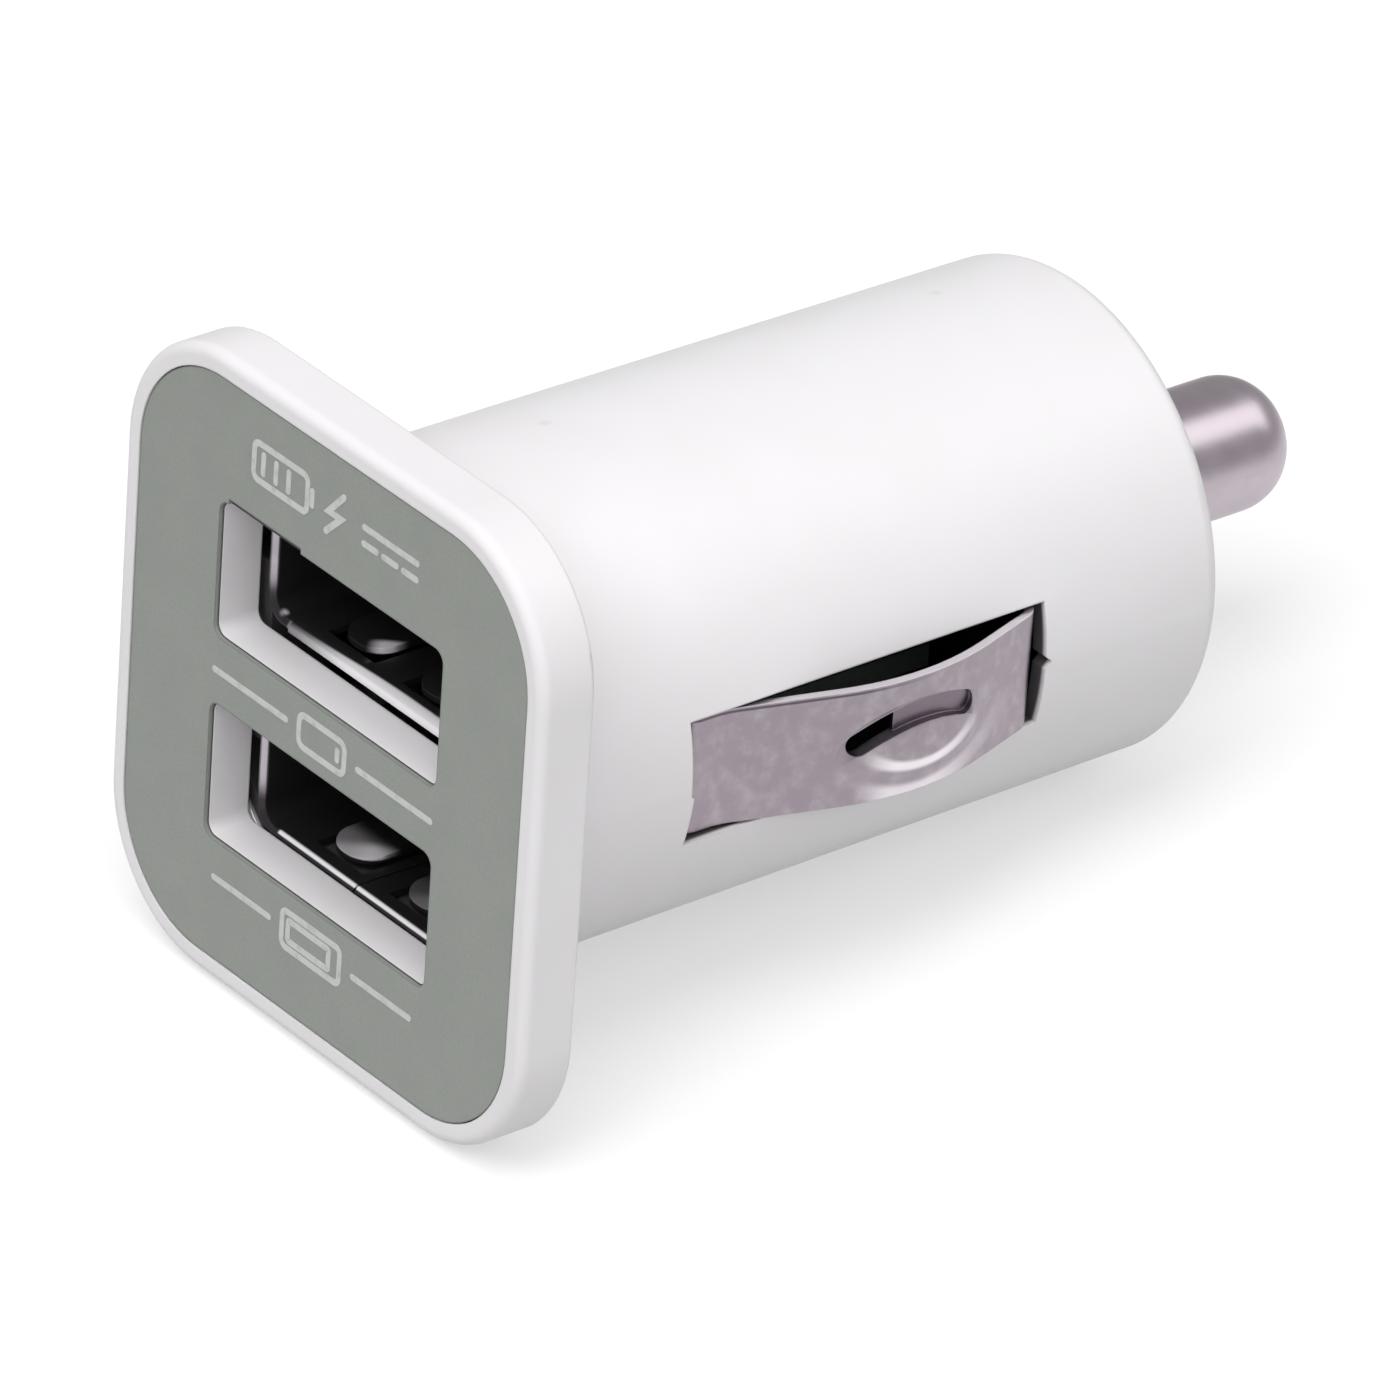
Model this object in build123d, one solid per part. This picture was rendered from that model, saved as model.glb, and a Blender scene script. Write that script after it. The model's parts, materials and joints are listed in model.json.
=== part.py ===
from build123d import *
import os
from math import cos, hypot, radians, sin, sqrt, tan

# Car charger plug with two stacked charging ports.
# +Y runs along the plug from the face to the tip, +Z is up, and the origin is the centre
# of the flange's back face, where the plug stops against its socket. Sizes in millimetres.

# Front bezel: the rounded square flange and its snap arms
flange_width = 26.5
flange_height = 27.25
flange_thickness = 2.55
flange_corner = 6.0
flange_front_round = 0.45
flange_back_round = 0.2
rim_width = 0.92
bezel_fit = 0.05
arm_width = 8.4
spigot_height = 8.0
spigot_length = 3.0
snap_y = 4.5
snap_height = 0.25
snap_half_length = 0.6

# Grey face panel let into the flange
panel_thickness = 0.2
panel_gap = 0.05
panel_set_back = 0.04
port_pitch = 8.9
window_side_gap = 0.5
window_edge_gap = 0.2
window_corner = 0.5
window_wall = 2.15
window_relief = 0.45
window_lip = 0.22
window_step_x = -1.95

# Barrel
barrel_length = 34.05
barrel_straight = 7.2
barrel_wall = 0.83
barrel_draft = 0.16
bore_clearance = 0.061
rear_wall = 1.6
rear_round = 0.7
inner_round = 0.6
guide_radius = 4.6
guide_length = 2.0
rib_width = 1.2
rib_height = 0.9
rib_angle = 60.0

# Side windows of the barrel and the moulding marks on their ends
side_window_front = 7.45
side_window_length = 17.6
side_window_height = 5.4
side_window_rise = 0.1
flash_step = 0.14
flash_z = -0.3
nick_depth = 0.3
nick_half_height = 0.28
nick_z = 0.2

# Side contacts: one bent leaf each
leaf_thickness = 0.35
leaf_width = 5.1
leaf_front_gap = 0.2
leaf_land_depth = 0.68
leaf_crest_height = 1.3
leaf_crest_offset = 10.2
leaf_rise = 17.2
leaf_fall = 17.5
leaf_crest_radius = 12.0
leaf_land_radius = 4.0
leaf_bend_radius = 0.45
leaf_dive_radius = 0.9
leaf_rear_gap = 0.75
leaf_leg = 1.35
leaf_tail_width = 1.6
leaf_tail_past_board = 0.7
leaf_hook_length = 1.8
leaf_hook_gap = 0.08
leaf_hook_lean = 25.0
leaf_sweep = 0.8
dome_length = 7.6
dome_width = 4.0
dome_height = 0.34
dome_drop = 0.45
slot_front = 3.4
slot_length = 6.1
slot_open_length = 2.1
slot_width = 0.95
slot_front_rise = 0.15
slot_rise = 1.0
slot_rear_rise = 0.62
slot_arch_offset = 0.4
groove_depth = 0.12

# Centre contact and its spring
tip_radius = 2.81
tip_reach = 10.92
tip_flat_radius = 0.42
tip_fit = 0.08
collar_radius = 4.0
collar_thickness = 1.0
stem_radius = 1.9
stem_length = 2.4
stem_bevel = 0.45
spring_radius = 2.75
spring_wire = 0.5
spring_turns = 5.5
terminal_radius = 3.4
terminal_thickness = 0.4
terminal_leg_width = 3.2
terminal_leg_length = 2.6

# Charging sockets
socket_width = 13.1
socket_height = 5.5
socket_depth = 10.6
socket_pitch = 9.4
socket_proud = 0.35
socket_corner = 1.0
sheet = 0.28
mouth_bevel = 0.18
lip_width = 10.4
lip_length = 0.6
lip_rise = 0.15
seam_width = 0.1
seam_x = -0.25
finger_width = 2.6
finger_length = 4.6
finger_setback = 1.1
finger_spread = 2.35
finger_bump = 0.34
finger_tip_lift = 0.2
finger_slit = 0.2
finger_crest = 1.5
finger_end_flat = 0.2
tab_width = 2.0
tongue_width = 11.1
tongue_thickness = 1.84
tongue_setback = 2.15
tongue_centre = 1.05
tongue_bevel = 0.37
insulator_depth = 2.0
insulator_fit = 0.04
pin_width = 1.0
pin_thickness = 0.2
pin_setback = 1.0
pin_bow = 0.3
pin_bow_length = 3.0
pin_spread = (-3.5, -1.0, 1.0, 3.5)
pin_fit = 0.03
pin_past_board = 0.3

# Circuit boards and what is soldered to them
board_thickness = 1.0
board_seat = 0.05
board_edge_gap = 0.15
board_hole_gap = 0.1
main_board_width = 14.0
main_board_length = 10.5
tenon_width = 6.0
choke_radius = 3.4
choke_height = 5.0
choke_flange = 0.9
choke_hub_radius = 1.6
winding_clearance = 0.05
winding_radius = 3.1
winding_crown = 0.4
capacitor_radius = 2.5
capacitor_height = 6.0
capacitor_groove = 0.25
capacitor_edge_gap = 0.9
chip_length = 4.9
chip_width = 3.9
chip_height = 1.5
chip_bevel = 0.3
chip_stand_off = 0.15
leads_per_side = 4
lead_pitch = 1.27
lead_width = 0.42
lead_thickness = 0.2
lead_foot = 0.7
diode_length = 4.3
diode_width = 2.6
diode_height = 2.1
diode_bevel = 0.35
diode_tab_width = 1.4
chip_part_length = 2.0
chip_part_width = 1.25
chip_part_height = 0.55
chip_part_bevel = 0.07
chip_part_count = 3

# Places that follow from the sizes above
socket_top = socket_pitch / 2 + socket_height / 2
socket_reach = hypot(socket_width / 2 - socket_corner, socket_top - socket_corner) + socket_corner
bore_radius = socket_reach + bore_clearance
barrel_radius = bore_radius + barrel_wall
barrel_rear_radius = barrel_radius - barrel_draft
through = 2 * barrel_radius
rear_bore_radius = barrel_rear_radius - barrel_wall
face_y = -flange_thickness
pocket_depth = panel_thickness + panel_set_back
panel_width = flange_width - 2 * (rim_width + panel_gap)
panel_height = flange_height - 2 * (rim_width + panel_gap)
panel_corner = flange_corner - rim_width - panel_gap
window_width = socket_width + 2 * window_side_gap
window_height = socket_height + 2 * window_edge_gap
window_heights = {"upper": port_pitch / 2, "lower": -port_pitch / 2}
socket_heights = {"upper": socket_pitch / 2, "lower": -socket_pitch / 2}
seam_sides = {"upper": 1, "lower": -1}
socket_front = -socket_proud
socket_rear = socket_front + socket_depth
port_board_front = socket_rear + board_seat
port_board_rear = port_board_front + board_thickness
main_board_front = port_board_rear + board_seat
main_board_rear = main_board_front + main_board_length
parts_front = main_board_front + pin_past_board + 2 * board_edge_gap
board_face = board_thickness / 2
chip_pitch = chip_part_width + 2 * board_edge_gap
chip_row_width = (chip_part_count - 1) * chip_pitch + chip_part_width
guide_front = barrel_length - rear_wall - guide_length
collar_rear = guide_front - board_seat
collar_front = collar_rear - collar_thickness
terminal_front = main_board_rear + board_seat
spring_front = terminal_front + terminal_thickness
side_window_rear = side_window_front + side_window_length
leaf_land_x = barrel_radius - leaf_land_depth
leaf_crest_x = barrel_radius + leaf_crest_height
leaf_crest_y = side_window_front + leaf_crest_offset
leaf_tail_x = leaf_land_x - leaf_thickness / 2 - leaf_leg


def section(y):
    """Drawing plane across the plug at y, with X to the right and Z up."""
    return Plane(origin=(0, y, 0), x_dir=(1, 0, 0), z_dir=(0, -1, 0))


def prism(sketch, y_from, y_to):
    """Solid of one outline from y_from to y_to along the plug."""
    return extrude(section(y_from) * sketch, amount=y_to - y_from, dir=(0, 1, 0))


def turned(points):
    """Solid turned about the plug's axis from (radius, y) points."""
    return revolve(make_face(Polyline(*points, close=True)), axis=Axis.Y)


def block(x, y, z):
    """Box between two values on each axis."""
    return Pos(sum(x) / 2, sum(y) / 2, sum(z) / 2) * Box(x[1] - x[0], y[1] - y[0], z[1] - z[0])


def port_windows(grow):
    """Outlines of the two port windows, grown all round."""
    outline = RectangleRounded(
        window_width + 2 * grow, window_height + 2 * grow, window_corner + grow
    )
    return [Pos(0, z) * outline for z in window_heights.values()]


def snap_ring(base_radius, height):
    """Triangular snap bead round the plug's axis."""
    return turned(
        [
            (base_radius - snap_height, snap_y - snap_half_length - snap_height),
            (base_radius + height, snap_y),
            (base_radius - snap_height, snap_y + snap_half_length + snap_height),
        ]
    )


def front_bezel():
    """Flange plate with the port windows, the panel's pocket and the snap arms."""
    plate = prism(RectangleRounded(flange_width, flange_height, flange_corner), face_y, 0)
    plate = fillet(plate.faces().sort_by(Axis.Y)[0].edges(), flange_front_round)
    plate = fillet(plate.faces().sort_by(Axis.Y)[-1].edges(), flange_back_round)
    pocket = RectangleRounded(
        panel_width + 2 * panel_gap, panel_height + 2 * panel_gap, panel_corner + panel_gap
    )
    plate -= prism(pocket, face_y, face_y + pocket_depth)
    for outline in port_windows(0):
        plate -= prism(outline, face_y, 0)
    for outline in port_windows(window_relief):
        plate -= prism(outline, face_y + window_wall, 0)

    outer_radius = bore_radius - bezel_fit
    arm_base = socket_top + board_edge_gap
    arm_end = port_board_front - board_seat
    side_base = socket_width / 2 + board_edge_gap
    outer = prism(Circle(outer_radius), 0, arm_end)
    beads = snap_ring(outer_radius, snap_height - bezel_fit)
    for side in (1, -1):
        heights = sorted((side * arm_base, side * barrel_radius))
        arm_box = block((-arm_width / 2, arm_width / 2), (0, arm_end), heights)
        plate += (outer + beads) & arm_box
        widths = sorted((side * side_base, side * barrel_radius))
        spigot_box = block(widths, (0, spigot_length), (-spigot_height / 2, spigot_height / 2))
        plate += outer & spigot_box
    return plate


def face_panel():
    """Thin grey plate with two windows; the upper one has a step in its top edge."""
    plate_front = face_y + panel_set_back
    plate = prism(
        RectangleRounded(panel_width, panel_height, panel_corner),
        plate_front,
        plate_front + panel_thickness,
    )
    for outline in port_windows(panel_gap):
        plate -= prism(outline, plate_front, plate_front + panel_thickness)
    upper_edge = window_heights["upper"] + window_height / 2 + panel_gap
    step = block(
        (-window_width / 2 + window_corner, window_step_x),
        (plate_front, plate_front + panel_thickness),
        (upper_edge - window_corner, upper_edge + window_lip),
    )
    return plate - step


def window_outline():
    """Side window in (y, z), with a moulding step at its front and a nick at its rear."""
    top = side_window_rise + side_window_height / 2
    low = side_window_rise - side_window_height / 2
    return make_face(
        Polyline(
            (side_window_front, top),
            (side_window_front, flash_z),
            (side_window_front + flash_step, flash_z - flash_step),
            (side_window_front, low),
            (side_window_rear, low),
            (side_window_rear, nick_z - nick_half_height),
            (side_window_rear + nick_depth, nick_z),
            (side_window_rear, nick_z + nick_half_height),
            (side_window_rear, top),
            close=True,
        )
    )


def barrel_shell():
    """Drafted cup with side windows, a closed rear end, a tip guide and inner ribs."""
    cup_floor = barrel_length - rear_wall
    hole_radius = tip_radius + tip_fit
    outside = turned(
        [
            (0, 0),
            (barrel_radius, 0),
            (barrel_radius, barrel_straight),
            (barrel_rear_radius, barrel_length),
            (0, barrel_length),
        ]
    )
    rear_edge = outside.edges().filter_by(GeomType.CIRCLE).group_by(Axis.Y)[-1]
    outside = fillet(rear_edge, rear_round)
    inside = turned(
        [
            (0, 0),
            (bore_radius, 0),
            (bore_radius, port_board_rear),
            (rear_bore_radius, cup_floor),
            (0, cup_floor),
        ]
    )
    floor_edge = inside.edges().filter_by(GeomType.CIRCLE).group_by(Axis.Y)[-1]
    shell = outside - fillet(floor_edge, inner_round)
    shell += prism(Circle(guide_radius), guide_front, cup_floor)
    shell -= prism(Circle(hole_radius), guide_front, barrel_length)

    rib_length = cup_floor - port_board_rear - board_seat
    rib_outer = rear_bore_radius + barrel_wall / 2
    rib_inner = rear_bore_radius - rib_height
    rib = Pos((rib_inner + rib_outer) / 2, cup_floor - rib_length / 2, 0) * Box(
        rib_outer - rib_inner, rib_length, rib_width
    )
    for angle in (rib_angle, 180 - rib_angle, 180 + rib_angle, -rib_angle):
        shell += Rot(0, angle, 0) * rib

    shell -= snap_ring(bore_radius, snap_height)
    window = extrude(Plane.YZ * window_outline(), amount=through)
    window &= block(
        (side_window_height, through),
        (0, barrel_length),
        (-side_window_height, side_window_height),
    )
    for angle in (0, 180):
        shell -= Rot(0, angle, 0) * window
    return shell


def leaf_path():
    """Middle line of a side contact in (x, y), from its leg to the hook at its rear."""
    half = leaf_thickness / 2
    land = leaf_land_x - half
    front = side_window_front + leaf_front_gap + half
    rise = tan(radians(leaf_rise))
    fall = tan(radians(leaf_fall))
    spread = radians(leaf_rise + leaf_fall) / 2
    tilt = radians(leaf_rise - leaf_fall) / 2
    apex = leaf_crest_radius * (1 / cos(spread) * cos(tilt) - 1)
    apex_x = leaf_crest_x - half + apex
    apex_y = leaf_crest_y - leaf_crest_radius * sin(tilt) / cos(spread)
    foot_y = apex_y - (apex_x - land) / rise
    dive_y = side_window_rear - leaf_rear_gap
    dive_x = apex_x - (dive_y - apex_y) * fall
    edge_z = leaf_width / 2 + side_window_rise
    hook_x = sqrt(rear_bore_radius**2 - edge_z**2) - leaf_hook_gap - half
    hook_y = dive_y + (dive_x - hook_x) * tan(radians(leaf_hook_lean))
    return FilletPolyline(
        (leaf_tail_x, front),
        (land, front),
        (land, foot_y),
        (apex_x, apex_y),
        (dive_x, dive_y),
        (hook_x, hook_y),
        (hook_x, hook_y + leaf_hook_length),
        radius=[
            leaf_bend_radius,
            leaf_land_radius,
            leaf_crest_radius,
            leaf_dive_radius,
            leaf_bend_radius,
        ],
    )


def leaf_dome():
    """Oval boss on the crest of a side contact, from the leaf's middle surface outward."""
    across = (dome_width**2 / 4 + dome_height**2) / (2 * dome_height)
    half_length = dome_length / 2
    drop = leaf_crest_radius - sqrt(leaf_crest_radius**2 - half_length**2) + dome_height
    arc_radius = (half_length**2 + drop**2) / (2 * drop)
    top_x = leaf_crest_x + dome_height
    axis_x = top_x - across
    overrun = half_length + leaf_thickness
    end_x = top_x - arc_radius + sqrt(arc_radius**2 - overrun**2)
    top = ThreePointArc(
        (end_x, leaf_crest_y - overrun), (top_x, leaf_crest_y), (end_x, leaf_crest_y + overrun)
    )
    sides = Polyline(
        top @ 1, (axis_x, leaf_crest_y + overrun), (axis_x, leaf_crest_y - overrun), top @ 0
    )
    spindle = revolve(make_face([top, sides]), axis=Axis((axis_x, 0, 0), (0, 1, 0)))
    middle_x = leaf_crest_x - leaf_thickness / 2 - leaf_crest_radius
    spindle -= Pos(middle_x, leaf_crest_y, 0) * Cylinder(leaf_crest_radius, through)
    leaf_heights = (-leaf_width / 2, leaf_width / 2)
    return Pos(0, 0, -dome_drop) * spindle & block((0, through), (0, barrel_length), leaf_heights)


def leaf_slot():
    """Arched slot in the boss: pierced in front, a shallow groove along the leaf behind."""
    front = leaf_crest_y - slot_front
    open_end = front + slot_open_length
    rear = front + slot_length
    line = ThreePointArc(
        (front + slot_width / 2, slot_front_rise),
        (leaf_crest_y - slot_arch_offset, slot_rise),
        (rear - slot_width / 2, slot_rear_rise),
    )
    outline = extrude(Plane.YZ * SlotArc(line, slot_width), amount=through)
    bend = Pos(leaf_crest_x - leaf_crest_radius, leaf_crest_y, 0)
    floor = bend * Cylinder(leaf_crest_radius - groove_depth, through)
    return outline - (floor & block((0, through), (open_end, barrel_length), (-through, through)))


def side_contact():
    """Right-hand contact: a bent leaf with a boss, a slot and a narrow solder tail."""
    strip = trace(leaf_path(), line_width=leaf_thickness)
    leaf = extrude(strip, amount=leaf_width / 2, both=True)
    leaf += leaf_dome()
    leaf -= leaf_slot()
    front = side_window_front + leaf_front_gap
    tail_end = port_board_rear + leaf_tail_past_board
    leaf += block(
        (leaf_tail_x - leaf_thickness / 2, leaf_tail_x + leaf_thickness / 2),
        (front, tail_end),
        (-leaf_tail_width / 2, leaf_tail_width / 2),
    )
    return Pos(0, 0, side_window_rise) * leaf


def tip_contact():
    """Turned centre contact: domed end, shank, retaining collar and spring stem."""
    tip_end = barrel_length + tip_reach
    stem_end = collar_front - stem_length
    shank = turned(
        [
            (0, stem_end),
            (stem_radius, stem_end),
            (stem_radius, collar_front),
            (collar_radius, collar_front),
            (collar_radius, collar_rear),
            (tip_radius, collar_rear),
            (tip_radius, tip_end),
            (0, tip_end),
        ]
    )
    circles = shank.edges().filter_by(GeomType.CIRCLE).group_by(Axis.Y)
    shank = fillet(circles[-1], tip_radius - tip_flat_radius)
    circles = shank.edges().filter_by(GeomType.CIRCLE).group_by(Axis.Y)
    return chamfer(circles[0], stem_bevel)


def tip_spring():
    """Coil spring between the terminal and the collar."""
    coil_start = spring_front + spring_wire / 2 + board_seat
    coil_end = collar_front - spring_wire / 2 - board_seat
    height = coil_end - coil_start
    coil = Helix(
        pitch=height / spring_turns,
        height=height,
        radius=spring_radius,
        center=(0, coil_start, 0),
        direction=(0, 1, 0),
    )
    wire_end = Plane(origin=coil @ 0, z_dir=coil % 0)
    return sweep(wire_end * Circle(spring_wire / 2), path=coil)


def tip_terminal():
    """Spring plate with a centring boss and two legs that straddle the main board."""
    plate = prism(Circle(terminal_radius), terminal_front, spring_front)
    boss_radius = spring_radius - spring_wire
    plate += prism(Circle(boss_radius), spring_front, spring_front + terminal_thickness)
    half = terminal_leg_width / 2
    for side in (1, -1):
        faces = sorted((side * board_face, side * (board_face + terminal_thickness)))
        legs = (terminal_front - terminal_leg_length, spring_front)
        plate += block((-half, half), legs, faces)
    return plate


def spring_finger():
    """Floor finger of a socket: rooted at the rear, bowed inwards, with a rounded front end."""
    tip_y = finger_setback
    root_y = finger_setback + finger_length
    low = -socket_height / 2
    crest_y = tip_y + finger_crest
    lower = ThreePointArc(
        (root_y, low), (crest_y, low + finger_bump), (tip_y, low + finger_tip_lift)
    )
    upper = Pos(0, sheet) * lower
    profile = make_face(
        [lower, Line(lower @ 1, upper @ 1), upper, Line(upper @ 0, lower @ 0)]
    )
    bar = extrude(Plane.YZ * profile, amount=finger_width / 2, both=True)
    plan = Rectangle(finger_width, finger_length)
    plan = fillet(plan.vertices().group_by(Axis.Y)[0], (finger_width - finger_end_flat) / 2)
    plan_solid = extrude(Pos(0, tip_y + finger_length / 2) * plan, amount=socket_height, both=True)
    return bar & plan_solid


def socket_lip():
    """Flared edge along the mouth of a socket's floor, bent outwards."""
    low = -socket_height / 2
    radius = (lip_length**2 + lip_rise**2) / (2 * lip_rise)
    half_drop = radius - sqrt(radius**2 - lip_length**2 / 4)
    lower = ThreePointArc(
        (lip_length, low), (lip_length / 2, low - half_drop), (0, low - lip_rise)
    )
    upper = Pos(0, sheet) * lower
    profile = make_face(
        [lower, Line(lower @ 1, upper @ 1), upper, Line(upper @ 0, lower @ 0)]
    )
    lip = extrude(Plane.YZ * profile, amount=lip_width / 2, both=True)
    front_edge = lip.edges().filter_by(Axis.X).group_by(Axis.Y)[0].sort_by(Axis.Z)[-1]
    return fillet(front_edge, sheet / 2)


def socket_shell(name):
    """Folded sheet sleeve: a flared lip, spring fingers, a seam opposite the lip, solder tabs."""
    outer = RectangleRounded(socket_width, socket_height, socket_corner)
    inner = RectangleRounded(
        socket_width - 2 * sheet, socket_height - 2 * sheet, socket_corner - sheet
    )
    sleeve = prism(outer, 0, socket_depth) - prism(inner, 0, socket_depth)
    mouth = sleeve.faces().sort_by(Axis.Y)[0].inner_wires()[0].edges()
    sleeve = chamfer(mouth, mouth_bevel)
    slit = block(
        (-finger_width / 2 - finger_slit, finger_width / 2 + finger_slit),
        (finger_setback - finger_slit, finger_setback + finger_length),
        (-socket_height / 2, -socket_height / 2 + sheet),
    )
    finger = spring_finger()
    lip = socket_lip()
    lip_place = block(
        (-lip_width / 2, lip_width / 2),
        (0, lip_length),
        (-socket_height / 2, -socket_height / 2 + sheet),
    )
    for side, turn in ((-1, 0), (1, 180)):
        if side != seam_sides[name]:
            sleeve -= Rot(0, turn, 0) * lip_place
            sleeve += Rot(0, turn, 0) * lip
        for x in (-finger_spread, finger_spread):
            sleeve -= Rot(0, turn, 0) * Pos(x, 0, 0) * slit
            sleeve += Rot(0, turn, 0) * Pos(x, 0, 0) * finger
    seam_wall = sorted((0, seam_sides[name] * socket_height))
    seam = block((seam_x - seam_width / 2, seam_x + seam_width / 2), (0, socket_depth), seam_wall)
    sleeve -= seam
    tab_end = socket_depth + board_seat + board_thickness + pin_past_board
    for side in (1, -1):
        wall = sorted((side * (socket_width / 2 - sheet), side * socket_width / 2))
        sleeve += block(wall, (socket_depth, tab_end), (-tab_width / 2, tab_width / 2))
    return Pos(0, socket_front, socket_heights[name]) * sleeve


def pin_profile(grow):
    """Contact pin in (y, z): flat along the tongue's underside, bowed down near its front."""
    top = tongue_centre - tongue_thickness / 2 + pin_thickness + grow
    low = top - pin_thickness - 2 * grow
    front = tongue_setback + pin_setback - grow
    bow_end = tongue_setback + pin_setback + pin_bow_length
    rear = socket_depth + board_seat + board_thickness + pin_past_board
    return make_face(
        [
            Polyline((bow_end, low), (rear, low), (rear, top), (front, top), (front, low)),
            ThreePointArc((front, low), ((front + bow_end) / 2, low - pin_bow), (bow_end, low)),
        ]
    )


def socket_pins(name):
    """Four contact pins of one socket."""
    pin = extrude(Plane.YZ * pin_profile(0), amount=pin_width / 2, both=True)
    pins = [Pos(x, socket_front, socket_heights[name]) * pin for x in pin_spread]
    return Compound(children=pins)


def socket_tongue(name):
    """Moulded insulator: rear block and the tongue that carries the pins."""
    block_front = socket_depth - insulator_depth
    inner_width = socket_width - 2 * (sheet + insulator_fit)
    inner_height = socket_height - 2 * (sheet + insulator_fit)
    corner = socket_corner - sheet - insulator_fit
    body = prism(RectangleRounded(inner_width, inner_height, corner), block_front, socket_depth)
    tongue = prism(Rectangle(tongue_width, tongue_thickness), tongue_setback, block_front)
    front_edges = tongue.faces().sort_by(Axis.Y)[0].edges().filter_by(Axis.X)
    tongue = chamfer(front_edges, tongue_bevel)
    body += Pos(0, 0, tongue_centre) * tongue
    groove = extrude(
        Plane.YZ * pin_profile(pin_fit), amount=pin_width / 2 + pin_fit, both=True
    )
    for x in pin_spread:
        body -= Pos(x, 0, 0) * groove
    return Pos(0, socket_front, socket_heights[name]) * body


def port_board():
    """Cross board behind the sockets, with flats and notches for the side contacts."""
    disc = prism(Circle(bore_radius - board_edge_gap * 2), port_board_front, port_board_rear)
    flat_x = leaf_land_x - leaf_thickness - leaf_sweep
    thickness = (port_board_front, port_board_rear)
    disc &= block((-flat_x, flat_x), thickness, (-barrel_radius, barrel_radius))
    notch_half = leaf_tail_width / 2 + side_window_rise + board_edge_gap
    notch_floor = leaf_tail_x - leaf_thickness / 2 - leaf_sweep
    tab_x = (socket_width / 2 - sheet - board_hole_gap, socket_width / 2 + board_hole_gap)
    tab_half = tab_width / 2 + board_hole_gap
    pin_z = tongue_centre - tongue_thickness / 2 + pin_thickness / 2
    for side in (1, -1):
        disc -= block(
            sorted((side * notch_floor, side * barrel_radius)), thickness, (-notch_half, notch_half)
        )
        for z in socket_heights.values():
            slot_x = sorted((side * tab_x[0], side * tab_x[1]))
            disc -= block(slot_x, thickness, (z - tab_half, z + tab_half))
    for z in socket_heights.values():
        for x in pin_spread:
            hole = Pos(x, z + pin_z) * Circle(pin_width / 2 + board_hole_gap)
            disc -= prism(hole, port_board_front, port_board_rear)
    mortise = Rectangle(tenon_width + 2 * board_hole_gap, board_thickness + 2 * board_hole_gap)
    return disc - prism(mortise, port_board_front, port_board_rear)


def main_board():
    """Board along the plug's axis, with a tenon through the cross board."""
    face = (-board_face, board_face)
    half = main_board_width / 2
    board = block((-half, half), (main_board_front, main_board_rear), face)
    half_tenon = tenon_width / 2
    return board + block((-half_tenon, half_tenon), (port_board_front, main_board_front), face)


def choke_place():
    """Centre of the choke on the main board's upper face."""
    x = -main_board_width / 2 + choke_radius + board_edge_gap
    return Pos(x, parts_front + choke_radius, board_face)


def choke_core():
    """Ferrite drum with two flanges on a hub."""
    profile = Polyline(
        (0, 0),
        (choke_radius, 0),
        (choke_radius, choke_flange),
        (choke_hub_radius, choke_flange),
        (choke_hub_radius, choke_height - choke_flange),
        (choke_radius, choke_height - choke_flange),
        (choke_radius, choke_height),
        (0, choke_height),
        close=True,
    )
    return choke_place() * revolve(Plane.XZ * make_face(profile), axis=Axis.Z)


def choke_winding():
    """Copper winding between the drum's flanges, crowned on its outside."""
    low = choke_flange + winding_clearance
    high = choke_height - choke_flange - winding_clearance
    inner = choke_hub_radius + winding_clearance
    crown = winding_radius - winding_crown
    profile = make_face(
        [
            Polyline((crown, high), (inner, high), (inner, low), (crown, low)),
            ThreePointArc((crown, low), (winding_radius, (low + high) / 2), (crown, high)),
        ]
    )
    return choke_place() * revolve(Plane.XZ * profile, axis=Axis.Z)


def capacitor():
    """Electrolytic can with a crimp groove near its base and a rounded top."""
    groove = capacitor_radius - capacitor_groove
    profile = Polyline(
        (0, 0),
        (capacitor_radius, 0),
        (capacitor_radius, 2 * capacitor_groove),
        (groove, 4 * capacitor_groove),
        (capacitor_radius, 6 * capacitor_groove),
        (capacitor_radius, capacitor_height),
        (0, capacitor_height),
        close=True,
    )
    can = revolve(Plane.XZ * make_face(profile), axis=Axis.Z)
    top_edge = can.edges().filter_by(GeomType.CIRCLE).group_by(Axis.Z)[-1]
    return fillet(top_edge, capacitor_groove)


def capacitor_place():
    """Centre of a capacitor on the main board's upper face."""
    x = main_board_width / 2 - capacitor_radius - capacitor_edge_gap
    return Pos(x, parts_front + capacitor_radius, board_face)


def input_capacitor():
    """Capacitor on the upper face, beside the choke."""
    return capacitor_place() * capacitor()


def output_capacitor():
    """Capacitor on the lower face, across from the upper one."""
    return Rot(0, 180, 0) * capacitor_place() * capacitor()


def chip_place():
    """Centre of the converter chip on the main board's lower face."""
    x = main_board_width / 2 - chip_width / 2 - lead_foot - 2 * board_edge_gap
    return Pos(x, parts_front + chip_length / 2, -board_face)


def converter_chip():
    """Moulded body of the converter chip, hanging under the board."""
    low = chip_stand_off
    body = block(
        (-chip_width / 2, chip_width / 2),
        (-chip_length / 2, chip_length / 2),
        (-low - chip_height, -low),
    )
    far_edges = body.faces().sort_by(Axis.Z)[0].edges()
    return chip_place() * chamfer(far_edges, chip_bevel)


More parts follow.
